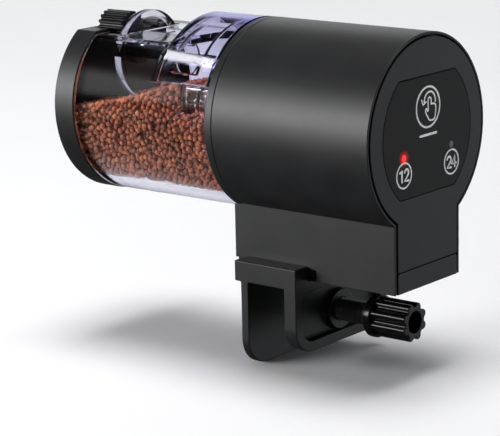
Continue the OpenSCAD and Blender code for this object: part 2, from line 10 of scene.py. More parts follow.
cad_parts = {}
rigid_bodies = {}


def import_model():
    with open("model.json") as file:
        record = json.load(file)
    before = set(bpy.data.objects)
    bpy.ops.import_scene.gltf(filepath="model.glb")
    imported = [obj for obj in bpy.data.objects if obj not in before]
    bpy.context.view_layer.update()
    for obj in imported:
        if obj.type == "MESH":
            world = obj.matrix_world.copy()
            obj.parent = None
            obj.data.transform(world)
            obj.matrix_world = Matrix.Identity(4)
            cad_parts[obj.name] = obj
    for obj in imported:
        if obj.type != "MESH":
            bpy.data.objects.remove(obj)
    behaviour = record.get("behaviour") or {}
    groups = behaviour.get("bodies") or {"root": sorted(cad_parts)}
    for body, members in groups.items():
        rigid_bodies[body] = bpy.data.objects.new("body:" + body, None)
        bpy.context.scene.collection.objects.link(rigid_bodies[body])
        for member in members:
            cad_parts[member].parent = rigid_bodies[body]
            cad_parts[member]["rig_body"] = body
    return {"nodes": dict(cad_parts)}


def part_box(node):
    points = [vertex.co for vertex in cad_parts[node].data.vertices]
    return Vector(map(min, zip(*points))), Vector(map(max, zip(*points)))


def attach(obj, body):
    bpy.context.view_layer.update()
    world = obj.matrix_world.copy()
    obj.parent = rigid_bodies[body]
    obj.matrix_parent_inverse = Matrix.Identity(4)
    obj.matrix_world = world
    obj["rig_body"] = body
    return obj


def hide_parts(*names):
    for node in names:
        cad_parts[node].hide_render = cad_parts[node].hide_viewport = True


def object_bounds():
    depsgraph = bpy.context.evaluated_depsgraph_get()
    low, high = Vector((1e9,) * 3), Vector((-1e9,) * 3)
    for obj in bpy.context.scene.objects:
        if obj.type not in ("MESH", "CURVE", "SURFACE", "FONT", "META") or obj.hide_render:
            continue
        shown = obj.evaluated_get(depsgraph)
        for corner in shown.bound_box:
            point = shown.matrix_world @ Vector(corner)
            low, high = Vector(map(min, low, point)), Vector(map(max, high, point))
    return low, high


# Looks of the automatic fish feeder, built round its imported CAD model. The frame is the
# CAD's: +X along the drum axis towards the touch panel, +Z up, origin where the clamp seats
# on the tank rim. Shapes are worked out in millimetres and stored in metres.

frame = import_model()
cad_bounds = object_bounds()

MM = 0.001
WELD = 1e-6
FLAT_ANGLE = math.radians(1.0)
EDGE_ANGLE = math.radians(32.0)


def box_mm(node):
    """Lowest and highest corner of a CAD node, in millimetres."""
    low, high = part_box(node)
    return low / MM, high / MM


# ---------- Stations taken from the CAD frame ----------

drum_low, drum_high = box_mm("drum")
drum_r = (drum_high.y - drum_low.y) / 2
axis_z = drum_low.z + drum_r
front_x = box_mm("touch_panel")[1].x
heap_low, heap_high = box_mm("food_pellets")
gate_low, gate_high = box_mm("dosing_gate")
flange_r = (gate_high.y - gate_low.y) / 2
shaft_z = (gate_low.z + gate_high.z) / 2
screw_low, screw_high = box_mm("clamp_screw")
screw_axis_z = (screw_low.z + screw_high.z) / 2


# ---------- Meshes ----------

def add_object(name, mesh, body, material):
    """Puts a finished mesh in the scene as a smooth-shaded piece that rides on a CAD body."""
    for polygon in mesh.polygons:
        polygon.use_smooth = True
    mesh.materials.clear()
    mesh.materials.append(material)
    piece = bpy.data.objects.new(name, mesh)
    bpy.context.scene.collection.objects.link(piece)
    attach(piece, body)
    return piece


def new_piece(name, verts, faces, body, material):
    """Makes a piece from points in millimetres."""
    mesh = bpy.data.meshes.new(name)
    mesh.from_pydata([tuple(c * MM for c in v) for v in verts], [], faces)
    mesh.validate()
    mesh.update()
    return add_object(name, mesh, body, material)


def round_edges(piece, width, segments=2):
    """Rounds a piece's sharp edges by a width in millimetres and evens its shading."""
    bevel = piece.modifiers.new("rounded edges", "BEVEL")
    bevel.width = width * MM
    bevel.segments = segments
    bevel.limit_method = "ANGLE"
    bevel.angle_limit = EDGE_ANGLE
    bevel.use_clamp_overlap = False
    bevel.miter_outer = "MITER_ARC"
    normals = piece.modifiers.new("even shading", "WEIGHTED_NORMAL")
    normals.keep_sharp = False
    normals.weight = 90
    return piece


def whole_faces(node):
    """Points and faces of a CAD node, with split corners joined and flat faces made whole."""
    bm = bmesh.new()
    bm.from_mesh(frame["nodes"][node].data)
    bmesh.ops.remove_doubles(bm, verts=bm.verts, dist=WELD)
    bmesh.ops.dissolve_limit(bm, angle_limit=FLAT_ANGLE, verts=bm.verts, edges=bm.edges)
    bm.verts.index_update()
    verts = [tuple(v.co / MM) for v in bm.verts]
    faces = [[v.index for v in f.verts] for f in bm.faces]
    bm.free()
    return verts, faces


def moulding(node, material, width, segments=2):
    """A piece with a CAD node's shape and moulded, rounded edges. It stands for that node."""
    source = frame["nodes"][node]
    verts, faces = whole_faces(node)
    piece = new_piece(node + "_moulded", verts, faces, source["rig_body"], material)
    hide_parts(node)
    return round_edges(piece, width, segments)


def ring_faces(rows, columns, first=0):
    """Quads between neighbouring rings of points, each ring closed on itself."""
    faces = []
    for i in range(rows - 1):
        for j in range(columns):
            k = (j + 1) % columns
            a = first + i * columns
            b = a + columns
            faces.append((a + j, a + k, b + k, b + j))
    return faces


def turned(profile, centre, columns=64):
    """Points and faces of a closed body turned about an X axis, from (x, radius) pairs."""
    verts = []
    for x, r in profile:
        for j in range(columns):
            a = 2 * math.pi * j / columns
            verts.append((x, centre[0] + r * math.cos(a), centre[1] + r * math.sin(a)))
    faces = ring_faces(len(profile), columns)
    faces.append(tuple(range(columns - 1, -1, -1)))
    last = (len(profile) - 1) * columns
    faces.append(tuple(range(last, last + columns)))
    return verts, faces


def joined(*shapes):
    """One list of points and one of faces from several (points, faces) shapes."""
    verts, faces = [], []
    for points, polygons in shapes:
        first = len(verts)
        verts += list(points)
        faces += [tuple(i + first for i in p) for p in polygons]
    return verts, faces


# ---------- Materials ----------

CLEAR_IOR = 1.20


def start_material(name):
    """A new material, its node tree and its shader."""
    material = bpy.data.materials.new(name)
    material.use_nodes = True
    tree = material.node_tree
    return material, tree, tree.nodes["Principled BSDF"]


def noise(tree, scale, detail=2.0):
    """Noise in the piece's own space; the scale is in cells per metre."""
    place = tree.nodes.new("ShaderNodeTexCoord")
    texture = tree.nodes.new("ShaderNodeTexNoise")
    texture.inputs["Scale"].default_value = scale
    texture.inputs["Detail"].default_value = detail
    tree.links.new(place.outputs["Object"], texture.inputs["Vector"])
    return texture.outputs["Fac"]


def ramp(tree, factor, low, high, start=0.3, end=0.7):
    """Colour that goes from low to high as the factor goes from start to end."""
    node = tree.nodes.new("ShaderNodeValToRGB")
    node.color_ramp.elements[0].position = start
    node.color_ramp.elements[1].position = end
    node.color_ramp.elements[0].color = (*low, 1)
    node.color_ramp.elements[1].color = (*high, 1)
    tree.links.new(factor, node.inputs["Fac"])
    return node.outputs["Color"]


def span(tree, factor, low, high):
    """Number that goes from low to high as the factor goes from 0 to 1."""
    node = tree.nodes.new("ShaderNodeMapRange")
    node.inputs["To Min"].default_value = low
    node.inputs["To Max"].default_value = high
    tree.links.new(factor, node.inputs["Value"])
    return node.outputs["Result"]


def faded(tree, value, start, end, low=0.0, high=1.0):
    """Number that goes smoothly from low to high as a value goes from start to end."""
    node = tree.nodes.new("ShaderNodeMapRange")
    node.interpolation_type = "SMOOTHSTEP"
    node.inputs["From Min"].default_value = start
    node.inputs["From Max"].default_value = end
    node.inputs["To Min"].default_value = low
    node.inputs["To Max"].default_value = high
    tree.links.new(value, node.inputs["Value"])
    return node.outputs["Result"]


def combined(tree, operation, first, second=None):
    """A sum, product or other function of one or two numbers."""
    node = tree.nodes.new("ShaderNodeMath")
    node.operation = operation
    tree.links.new(first, node.inputs[0])
    if second is not None:
        tree.links.new(second, node.inputs[1])
    return node.outputs["Value"]


def relief(tree, shader, height, strength, depth):
    """Bump from a height, with its depth in millimetres."""
    node = tree.nodes.new("ShaderNodeBump")
    node.inputs["Strength"].default_value = strength
    node.inputs["Distance"].default_value = depth * MM
    tree.links.new(height, node.inputs["Height"])
    tree.links.new(node.outputs["Normal"], shader.inputs["Normal"])


def plastic(name, dark, light, rough, grain, depth, gloss=0.5):
    """Moulded plastic: faint mottling, uneven gloss and a fine grain."""
    material, tree, shader = start_material(name)
    tree.links.new(ramp(tree, noise(tree, 90, 3), dark, light), shader.inputs["Base Color"])
    tree.links.new(span(tree, noise(tree, 420, 3), *rough), shader.inputs["Roughness"])
    shader.inputs["Specular IOR Level"].default_value = gloss
    relief(tree, shader, noise(tree, grain, 4), 0.35, depth)
    return material


def metal(name, dark, light, rough, grain):
    """Plated or turned metal with fine scratches."""
    material, tree, shader = start_material(name)
    tree.links.new(ramp(tree, noise(tree, 300, 4), dark, light), shader.inputs["Base Color"])
    tree.links.new(span(tree, noise(tree, grain, 6), *rough), shader.inputs["Roughness"])
    shader.inputs["Metallic"].default_value = 1.0
    relief(tree, shader, noise(tree, grain * 2, 3), 0.2, 0.01)
    return material


def clear_plastic(name, tint, density, shadow, rough):
    """Clear moulded plastic: its cast deepens with thickness, and lamps reach what is behind it."""
    material, tree, shader = start_material(name)
    tree.links.new(
        ramp(tree, noise(tree, 60, 2), (0.95, 0.95, 0.96), (0.99, 0.99, 1.0)),
        shader.inputs["Base Color"],
    )
    tree.links.new(span(tree, noise(tree, 200, 3), *rough), shader.inputs["Roughness"])
    shader.inputs["Transmission Weight"].default_value = 1.0
    shader.inputs["IOR"].default_value = CLEAR_IOR
    relief(tree, shader, noise(tree, 120, 2), 0.05, 0.05)
    cast = tree.nodes.new("ShaderNodeVolumeAbsorption")
    cast.inputs["Color"].default_value = (*tint, 1)
    cast.inputs["Density"].default_value = density
    tree.links.new(cast.outputs["Volume"], tree.nodes["Material Output"].inputs["Volume"])
    see_through = tree.nodes.new("ShaderNodeBsdfTransparent")
    see_through.inputs["Color"].default_value = (*shadow, 1)
    path = tree.nodes.new("ShaderNodeLightPath")
    mixed = tree.nodes.new("ShaderNodeMixShader")
    tree.links.new(path.outputs["Is Shadow Ray"], mixed.inputs[0])
    tree.links.new(shader.outputs["BSDF"], mixed.inputs[1])
    tree.links.new(see_through.outputs["BSDF"], mixed.inputs[2])
    tree.links.new(mixed.outputs["Shader"], tree.nodes["Material Output"].inputs["Surface"])
    return material


def pellet_material():
    """Dry fish food: each pellet its own red-brown, with a rough, dusty skin."""
    material, tree, shader = start_material("food pellets")
    piece = tree.nodes.new("ShaderNodeNewGeometry")
    own = ramp(
        tree, piece.outputs["Random Per Island"], (0.20, 0.045, 0.012), (0.50, 0.150, 0.050), 0.0, 1.0
    )
    dust = ramp(tree, noise(tree, 900, 4), (0.72, 0.70, 0.70), (1.15, 1.10, 1.05))
    mix = tree.nodes.new("ShaderNodeMix")
    mix.data_type = "RGBA"
    mix.blend_type = "MULTIPLY"
    mix.inputs["Factor"].default_value = 1.0
    tree.links.new(own, mix.inputs["A"])
    tree.links.new(dust, mix.inputs["B"])
    tree.links.new(mix.outputs["Result"], shader.inputs["Base Color"])
    tree.links.new(span(tree, noise(tree, 1500, 3), 0.42, 0.66), shader.inputs["Roughness"])
    relief(tree, shader, noise(tree, 1600, 4), 0.6, 0.18)
    return material


def lamp_material(name, dark, light, glow, strength):
    """Moulded lens with an even glow: a lit lens's own light, or a faint painted glow on an unlit
    one.
    """
    material, tree, shader = start_material(name)
    tree.links.new(ramp(tree, noise(tree, 500, 2), dark, light), shader.inputs["Base Color"])
    tree.links.new(span(tree, noise(tree, 700, 2), 0.12, 0.2), shader.inputs["Roughness"])
    shader.inputs["Emission Color"].default_value = (*glow, 1)
    shader.inputs["Emission Strength"].default_value = strength
    return material


def panel_material(lamp_centre, reach):
    """Gloss panel with a painted red glow round the lit lamp, standing for its light bleeding into
    the panel, out to a reach in millimetres.
    """
    material, tree, shader = start_material("touch panel gloss, painted lamp glow")
    tree.links.new(
        ramp(tree, noise(tree, 90, 3), (0.0025, 0.0025, 0.0028), (0.0040, 0.0040, 0.0043)),
        shader.inputs["Base Color"],
    )
    tree.links.new(span(tree, noise(tree, 500, 3), 0.16, 0.24), shader.inputs["Roughness"])
    shader.inputs["Specular IOR Level"].default_value = 0.10
    relief(tree, shader, noise(tree, 2500, 2), 0.1, 0.01)
    # Painted red glow: the panel emits light that fades from the lit lamp's centre out to the reach.
    place = tree.nodes.new("ShaderNodeTexCoord")
    distance = tree.nodes.new("ShaderNodeVectorMath")
    distance.operation = "DISTANCE"
    distance.inputs[1].default_value = lamp_centre
    fade = tree.nodes.new("ShaderNodeMapRange")
    fade.interpolation_type = "SMOOTHERSTEP"
    fade.inputs["From Min"].default_value = reach * MM
    fade.inputs["From Max"].default_value = 0.0
    fade.inputs["To Max"].default_value = 0.5
    tree.links.new(place.outputs["Object"], distance.inputs[0])
    tree.links.new(distance.outputs["Value"], fade.inputs["Value"])
    tree.links.new(fade.outputs["Result"], shader.inputs["Emission Strength"])
    shader.inputs["Emission Color"].default_value = (1.0, 0.01, 0.006, 1)
    return material


def banded_material(name, band, sleeve, start, end):
    """Battery sleeve: a plain colour with a metallic band at one end of its length."""
    material, tree, shader = start_material(name)
    place = tree.nodes.new("ShaderNodeTexCoord")
    split = tree.nodes.new("ShaderNodeSeparateXYZ")
    along = tree.nodes.new("ShaderNodeMapRange")
    along.inputs["From Min"].default_value = start * MM
    along.inputs["From Max"].default_value = end * MM
    tree.links.new(place.outputs["Object"], split.inputs["Vector"])
    tree.links.new(split.outputs["X"], along.inputs["Value"])
    tree.links.new(
        ramp(tree, along.outputs["Result"], sleeve, band, 0.69, 0.7), shader.inputs["Base Color"]
    )
    tree.links.new(span(tree, noise(tree, 600, 3), 0.22, 0.34), shader.inputs["Roughness"])
    shader.inputs["Metallic"].default_value = 0.4
    return material


def board_material():
    """Green solder mask with raised copper tracks under it."""
    material, tree, shader = start_material("circuit board")
    place = tree.nodes.new("ShaderNodeTexCoord")
    tracks = tree.nodes.new("ShaderNodeTexBrick")
    tracks.inputs["Scale"].default_value = 260
    tree.links.new(place.outputs["Object"], tracks.inputs["Vector"])
    tree.links.new(
        ramp(tree, tracks.outputs["Fac"], (0.012, 0.075, 0.032), (0.03, 0.16, 0.07)),
        shader.inputs["Base Color"],
    )
    tree.links.new(span(tree, noise(tree, 500, 2), 0.25, 0.4), shader.inputs["Roughness"])
    relief(tree, shader, tracks.outputs["Fac"], 0.3, 0.05)
    return material


# ---------- Clamp screw ----------

THREAD_PITCH = 1.2
THREAD_DEPTH = 0.65
THREAD_ROWS_PER_TURN = 12
THREAD_COLUMNS = 48
THREAD_R = 3.9
COLLAR_LENGTH = 2.5
COLLAR_EDGE = 0.4
SHANK_R = 2.4


def thread_height(turn):
    """Height from 0 at the root to 1 at the crest, at a share of one turn."""
    wave = 2 * abs(turn % 1 - 0.5)
    return min(1.0, max(0.0, 1.6 * wave - 0.3))


def threaded_bar(start, end, crest):
    """Points and faces of a screw thread along X; its ends run out to the root."""
    rows = int((end - start) / THREAD_PITCH * THREAD_ROWS_PER_TURN)
    root = crest - THREAD_DEPTH
    verts = []
    for i in range(rows + 1):
        x = start + (end - start) * i / rows
        run_out = min(1.0, min(x - start, end - x) / THREAD_PITCH)
        for j in range(THREAD_COLUMNS):
            share = j / THREAD_COLUMNS
            r = root + THREAD_DEPTH * run_out * thread_height(x / THREAD_PITCH - share)
            a = 2 * math.pi * share
            verts.append((x, r * math.cos(a), screw_axis_z + r * math.sin(a)))
    faces = ring_faces(rows + 1, THREAD_COLUMNS)
    faces.append(tuple(range(THREAD_COLUMNS - 1, -1, -1)))
    last = rows * THREAD_COLUMNS
    faces.append(tuple(range(last, last + THREAD_COLUMNS)))
    return verts, faces


def clamp_screw_piece(material):
    """Clamp screw with its thread cut and its collar's edges rounded. It stands for the CAD node."""
    knob_low = box_mm("clamp_knob")[0]
    collar_r = (screw_high.z - screw_low.z) / 2
    collar_x0 = knob_low.x - COLLAR_LENGTH
    collar_x1 = knob_low.x
    edge = COLLAR_EDGE
    thread = threaded_bar(screw_low.x, collar_x0 + 0.2, THREAD_R)
    collar = turned(
        [
            (collar_x0, THREAD_R - THREAD_DEPTH),
            (collar_x0, collar_r - edge),
            (collar_x0 + edge * 0.3, collar_r - edge * 0.3),
            (collar_x0 + edge, collar_r),
            (collar_x1 - edge, collar_r),
            (collar_x1 - edge * 0.3, collar_r - edge * 0.3),
            (collar_x1, collar_r - edge),
            (collar_x1, SHANK_R),
            (screw_high.x - edge, SHANK_R),
            (screw_high.x, SHANK_R - edge),
        ],
        (0, screw_axis_z),
    )
    verts, faces = joined(thread, collar)
    piece = new_piece("clamp_screw_threaded", verts, faces, "screw", material)
    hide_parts("clamp_screw")
    normals = piece.modifiers.new("even shading", "WEIGHTED_NORMAL")
    normals.keep_sharp = False
    return piece


# ---------- Food ----------

PELLET_R = 1.0
PELLET_LAYER = 3.0
PELLET_FILL = 0.62
PELLET_TRIES = 160000
RELAX_STEPS = 22
FOOD_CUTS = [-62, -42]
FLANGE_ROOM = 0.9
FLANGE_THICK = 3.1
SOCKET_X = -26.2
SOCKET_ROOM = 10.2
# Top of the heap as x and height above the drum axis, from the cap to the drum's front wall
HEAP_TOP = [(-84, 0.5), (-66, 3.5), (-52, 7.0), (-41, 10.8), (-34, 11.8), (-32.9, 2.7), (-20, 1.8)]


def heap_depth(points):
    """How deep each point lies inside the heap, in millimetres; negative outside."""
    x, y, z = points[:, 0], points[:, 1], points[:, 2] - axis_z
    top_x, top_z = zip(*HEAP_TOP)
    inner_r = (heap_high.y - heap_low.y) / 2
    flange_end = gate_low.x + FLANGE_THICK + FLANGE_ROOM
    off_flange = np.hypot(y, z - (shaft_z - axis_z)) - flange_r - FLANGE_ROOM
    off_socket = np.hypot(y, z) - SOCKET_ROOM
    return np.min(
        [
            inner_r - np.hypot(y, z),
            np.interp(x, top_x, top_z) - z,
            x - heap_low.x,
            heap_high.x - x,
            np.maximum(x - flange_end, off_flange),
            np.maximum(SOCKET_X - x, off_socket),
        ],
        axis=0,
    )


def depth_slope(points):
    """Unit direction in which each point goes deeper into the heap."""
    step = 0.05
    slope = np.empty_like(points)
    for axis in range(3):
        shift = np.zeros(3)
        shift[axis] = step
        slope[:, axis] = heap_depth(points + shift) - heap_depth(points - shift)
    length = np.linalg.norm(slope, axis=1, keepdims=True)
    return slope / np.maximum(length, 1e-9)


def pushed_apart(points):
    """Moves overlapping pellets apart by half of their overlap each."""
    tree = KDTree(len(points))
    for i, p in enumerate(points):
        tree.insert(p, i)
    tree.balance()
    moved = points.copy()
    for i, p in enumerate(points):
        for _, j, distance in tree.find_range(p, 2 * PELLET_R):
            if i < j and distance > 1e-6:
                push = (p - points[j]) * (0.5 * (2 * PELLET_R / distance - 1))
                moved[i] += push
                moved[j] -= push
    return moved


def pellet_centres(rng):
    """Loosely packed pellet centres in the outer layer of the heap."""
    low = np.array((heap_low.x, heap_low.y, heap_low.z))
    high = np.array((heap_high.x, heap_high.y, heap_high.z))
    cloud = low + (high - low) * rng.random((PELLET_TRIES, 3))
    depth = heap_depth(cloud)
    layer = cloud[(depth > PELLET_R * 0.5) & (depth < PELLET_R + PELLET_LAYER)]
    volume = np.prod(high - low) * len(layer) / len(cloud)
    count = int(PELLET_FILL * volume / (4 / 3 * math.pi * PELLET_R**3))
    points = layer[:count]
    for _ in range(RELAX_STEPS):
        points = pushed_apart(points)
        depth = heap_depth(points)
        shy = np.maximum(0, PELLET_R - depth)[:, None]
        points = points + depth_slope(points) * shy
    return points[heap_depth(points) > PELLET_R * 0.75]


def pellet_shape():
    """Points and quads of a small rounded granule of radius 1."""
    bm = bmesh.new()
    bmesh.ops.create_cube(bm, size=1.0)
    bmesh.ops.subdivide_edges(bm, edges=bm.edges, cuts=1, use_grid_fill=True)
    for v in bm.verts:
        v.co.normalize()
    bm.verts.index_update()
    verts = np.array([v.co for v in bm.verts])
    faces = np.array([[v.index for v in f.verts] for f in bm.faces])
    bm.free()
    return verts, faces


def random_turns(rng, count):
    """Random rotation matrices."""
    q = rng.normal(size=(count, 4))
    q /= np.linalg.norm(q, axis=1, keepdims=True)
    w, x, y, z = q.T
    rows = [
        [1 - 2 * (y * y + z * z), 2 * (x * y - z * w), 2 * (x * z + y * w)],
        [2 * (x * y + z * w), 1 - 2 * (x * x + z * z), 2 * (y * z - x * w)],
        [2 * (x * z - y * w), 2 * (y * z + x * w), 1 - 2 * (x * x + y * y)],
    ]
    return np.array(rows).transpose(2, 0, 1)


def food_pieces(material):
    """Thousands of separate pellets, in pieces split along the drum."""
    rng = np.random.default_rng(11)
    centres = pellet_centres(rng)
    shape, faces = pellet_shape()
    count = len(centres)
    stretch = rng.uniform(0.82, 1.10, (count, 1, 3)) * PELLET_R
    dents = rng.uniform(0.90, 1.08, (count, len(shape), 1))
    turns = random_turns(rng, count)
    points = np.einsum("nij,nkj->nki", turns, shape[None] * dents * stretch)
    points += centres[:, None]
    cut = np.digitize(centres[:, 0], FOOD_CUTS)
    for part in range(len(FOOD_CUTS) + 1):
        chosen = points[cut == part]
        first = np.arange(len(chosen))[:, None, None] * len(shape)
        piece = new_piece(
            f"food_pellets_{part + 1}",
            chosen.reshape(-1, 3).tolist(),
            (faces[None] + first).reshape(-1, 4).tolist(),
            "drum",
            material,
        )
        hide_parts("food_pellets")


# ---------- Panel marks ----------

MARK_HEIGHT = 0.04
MARK_SINK = 0.02
ROUND_STEPS = 3


def smooth_path(points, steps=5, closed=False):
    """Points of a smooth curve through the given y-z points."""
    count = len(points)
    path = []
    for i in range(count if closed else count - 1):
        near = [i + k for k in (-1, 0, 1, 2)]
        p = [points[n % count if closed else min(max(n, 0), count - 1)] for n in near]
        for step in range(steps):
            t = step / steps
            path.append(tuple(
                0.5 * (2 * p[1][c] + (p[2][c] - p[0][c]) * t
                       + (2 * p[0][c] - 5 * p[1][c] + 4 * p[2][c] - p[3][c]) * t**2
                       + (3 * p[1][c] - p[0][c] - 3 * p[2][c] + p[3][c]) * t**3)
                for c in (0, 1)
            ))
    return path if closed else path + [points[-1]]


def rounded_ends(path, half):
    """Stations (y, z, half width) of a line, with half circles added at its two ends."""
    stations = [(y, z, half) for y, z in path]
    for end, inner in ((0, 1), (-1, -2)):
        away = Vector(path[end]) - Vector(path[inner])
        away.normalize()
        cap = []
        for k in range(1, ROUND_STEPS + 1):
            a = math.pi / 2 * k / (ROUND_STEPS + 0.4)
            tip = Vector(path[end]) + away * half * math.sin(a)
            cap.append((tip.x, tip.y, half * math.cos(a)))
        stations = cap[::-1] + stations if end == 0 else stations + cap
    return stations


def stroke(path, width, closed=False):
    """Points and faces of a thin raised line on the front face along y-z points."""
    half = width / 2
    stations = [(y, z, half) for y, z in path] if closed else rounded_ends(path, half)
    count = len(stations)
    verts = []
    for i, (y, z, w) in enumerate(stations):
        before = stations[i - 1] if closed or i else stations[0]
        after = stations[(i + 1) % count] if closed or i + 1 < count else stations[-1]
        along = Vector((after[0] - before[0], after[1] - before[1])).normalized()
        side = Vector((-along.y, along.x)) * w
        for sign, x in ((1, MARK_HEIGHT), (-1, MARK_HEIGHT), (-1, -MARK_SINK), (1, -MARK_SINK)):
            verts.append((front_x + x, y + sign * side.x, z + sign * side.y))
    rings = count + 1 if closed else count
    faces = []
    for i in range(rings - 1):
        a = 4 * i
        b = 4 * ((i + 1) % count)
        faces += [(a + j, a + (j + 1) % 4, b + (j + 1) % 4, b + j) for j in range(4)]
    if not closed:
        faces += [(3, 2, 1, 0), tuple(4 * count - 4 + j for j in range(4))]
    return verts, faces


def arc(centre, r, start, end, steps):
    """Points round a centre between two angles in degrees."""
    angles = [math.radians(start + (end - start) * i / steps) for i in range(steps + 1)]
    return [(centre[0] + r * math.cos(a), centre[1] + r * math.sin(a)) for a in angles]


def moved(points, offset, size=1.0):
    """Points scaled by a size and then shifted."""
    return [(offset[0] + size * y, offset[1] + size * z) for y, z in points]


def ring_mark(centre, r, width):
    """Round line of a width about a centre."""
    return stroke(arc(centre, r, 0, 360, 64)[:-1], width, closed=True)


# Printed line widths and ring sizes
HAND_RING_R = 6.5
HAND_RING_WIDTH = 0.65
HAND_WIDTH = 0.55
ARROW_R = 3.1
ARROW_WIDTH = 0.6
BAR_WIDTH = 0.8
KEY_RING_R = 4.0
KEY_RING_WIDTH = 0.55
NUMERAL_SIZE = 1.85

# Numerals drawn as lines in a cell one unit to each side and one up and down
NUMERALS = {
    "1": [[(-0.45, 0.62), (0.1, 1.0), (0.1, -1.0)]],
    "2": [arc((0, 0.42), 0.58, 165, -35, 12) + [(-0.58, -1.0), (0.62, -1.0)]],
    "4": [[(0.3, -1.0), (0.3, 1.0), (-0.68, -0.42), (0.72, -0.42)]],
}

# Pressing hand, anticlockwise from the finger's left root, relative to its ring's centre
HAND = [
    (0.0, -1.3), (0.0, 2.2), (0.85, 3.0), (1.7, 2.2), (1.75, 0.75), (3.1, 0.7), (4.2, -0.1),
    (4.1, -2.4), (3.3, -4.3), (0.9, -4.4), (-0.5, -2.9), (-1.5, -1.2), (-0.95, -0.5),
]


def numeral_pair(text, centre, size):
    """Two numerals side by side, centred."""
    shapes = []
    for digit, side in zip(text, (-1, 1)):
        offset = (centre[0] + side * size * 0.72, centre[1])
        for line in NUMERALS[digit]:
            shapes.append(stroke(moved(line, offset, size), size * 0.42))
    return shapes


def panel_marks(material):
    """Printed touch marks: a pressing hand with a turning arrow, and the two interval keys."""
    hand_centre = (0.3, axis_z + 8.6)
    arrow_centre = (hand_centre[0] + 0.9, hand_centre[1] + 1.7)
    head = [(-3.6, 2.6), (-2.75, 0.95), (-1.2, 1.75)]
    shapes = [
        ring_mark(hand_centre, HAND_RING_R, HAND_RING_WIDTH),
        stroke(smooth_path(moved(HAND, hand_centre), closed=True), HAND_WIDTH, closed=True),
        stroke(arc(arrow_centre, ARROW_R, -8, 178, 24), ARROW_WIDTH),
        stroke(moved(head, hand_centre), HAND_WIDTH),
        stroke([(-4.2, axis_z - 0.3), (4.8, axis_z - 0.3)], BAR_WIDTH),
    ]
    for text, place in (("12", (-13.1, axis_z - 11.3)), ("24", (13.4, axis_z - 11.4))):
        shapes.append(ring_mark(place, KEY_RING_R, KEY_RING_WIDTH))
        shapes += numeral_pair(text, place, NUMERAL_SIZE)
    verts, faces = joined(*shapes)
    return new_piece("panel_marks", verts, faces, "housing", material)


def lens_piece(node, material):
    """Indicator lens with a shallow dome that stands just proud of the panel."""
    low, high = box_mm(node)
    centre = ((low.y + high.y) / 2, (low.z + high.z) / 2)
    r = (high.y - low.y) / 2
    dome = high.x - front_x
    profile = [(low.x, r), (front_x, r)]
    for k in range(1, 6):
        a = math.pi / 2 * k / 5.4
        profile.append((front_x + dome * math.sin(a), r * math.cos(a)))
    verts, faces = turned(profile, centre, 32)
    piece = new_piece(node + "_dome", verts, faces, "housing", material)
    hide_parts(node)
    return piece


# ---------- Stage ----------

KEY_WATTS = 24.0
SHEEN_WATTS = 36.0
BAND_WATTS = 6.0
GLINT_WATTS = 16.0
BACK_WATTS = 3.0
TOP_WATTS = 190.0
SOFT_EDGE = 0.35
LAMP_TARGET = (-0.02, 0.0, 0.05)
SIDE_PLACE = (-0.62, -0.80, 0.26)
BAND_PLACE = (-0.60, -0.76, 0.36)
GLINT_PLACE = (-0.70, -0.30, 0.80)
BACK_PLACE = (-1.0, 1.0, 0.75)
TOP_PLACE = (-0.1, 0.2, 3.0)
TOP_TARGET = (-0.1, 0.2, 0.0)
SKY_DIM = 0.05
SKY_GLOW = 0.90
FLOOR_HALF = 6.0
CAMERA_PLACE = (0.4385, -0.5691, 0.1890)
CAMERA_BACK = (0.61544, -0.75356, 0.23106)
CAMERA_ROLL = math.radians(-1.306)
CAMERA_LENS = 159.29


def make_floor():
    """Plain pale floor at the object's lowest point."""
    size = FLOOR_HALF
    level = cad_bounds[0].z
    mesh = bpy.data.meshes.new("floor")
    corners = [(-size, -size, level), (size, -size, level), (size, size, level), (-size, size, level)]
    mesh.from_pydata(corners, [], [(0, 1, 2, 3)])
    floor = bpy.data.objects.new("floor", mesh)
    bpy.context.scene.collection.objects.link(floor)
    material, tree, shader = start_material("pale floor")
    tree.links.new(
        ramp(tree, noise(tree, 3, 2), (0.80, 0.80, 0.81), (0.84, 0.84, 0.85)),
        shader.inputs["Base Color"],
    )
    shader.inputs["Roughness"].default_value = 0.9
    mesh.materials.append(material)
    floor.visible_glossy = False


def soften(data):
    """Lets a lamp fade towards its edges, as a softbox does."""
    data.use_nodes = True
    tree = data.node_tree
    place = tree.nodes.new("ShaderNodeNewGeometry")
    split = tree.nodes.new("ShaderNodeSeparateXYZ")
    tree.links.new(place.outputs["Parametric"], split.inputs["Vector"])
    sides = []
    for side in ("X", "Y"):
        fold = tree.nodes.new("ShaderNodeMath")
        fold.operation = "PINGPONG"
        fold.inputs[1].default_value = 0.5
        tree.links.new(split.outputs[side], fold.inputs[0])
        sides.append(faded(tree, fold.outputs["Value"], 0.0, SOFT_EDGE))
    tree.links.new(combined(tree, "MULTIPLY", *sides), tree.nodes["Emission"].inputs["Strength"])


def add_light(name, place, target, width, height, watts):
    """Rectangular softbox at a place, facing a target, both in metres."""
    data = bpy.data.lights.new(name, "AREA")
    data.shape = "RECTANGLE"
    data.size = width
    data.size_y = height
    data.energy = watts
    soften(data)
    lamp = bpy.data.objects.new(name, data)
    lamp.location = place
    aim = Vector(target) - Vector(place)
    lamp.rotation_mode = "QUATERNION"
    lamp.rotation_quaternion = aim.to_track_quat("-Z", "Y")
    bpy.context.scene.collection.objects.link(lamp)
    return lamp


def light_only(lamp, pieces, linked):
    """Lets a lamp light only the given pieces, or all but them."""
    group = bpy.data.collections.new(lamp.name + " receivers")
    for piece in pieces:
        group.objects.link(piece)
    lamp.light_linking.receiver_collection = group
    for entry in group.collection_objects:
        entry.light_linking.link_state = "INCLUDE" if linked else "EXCLUDE"


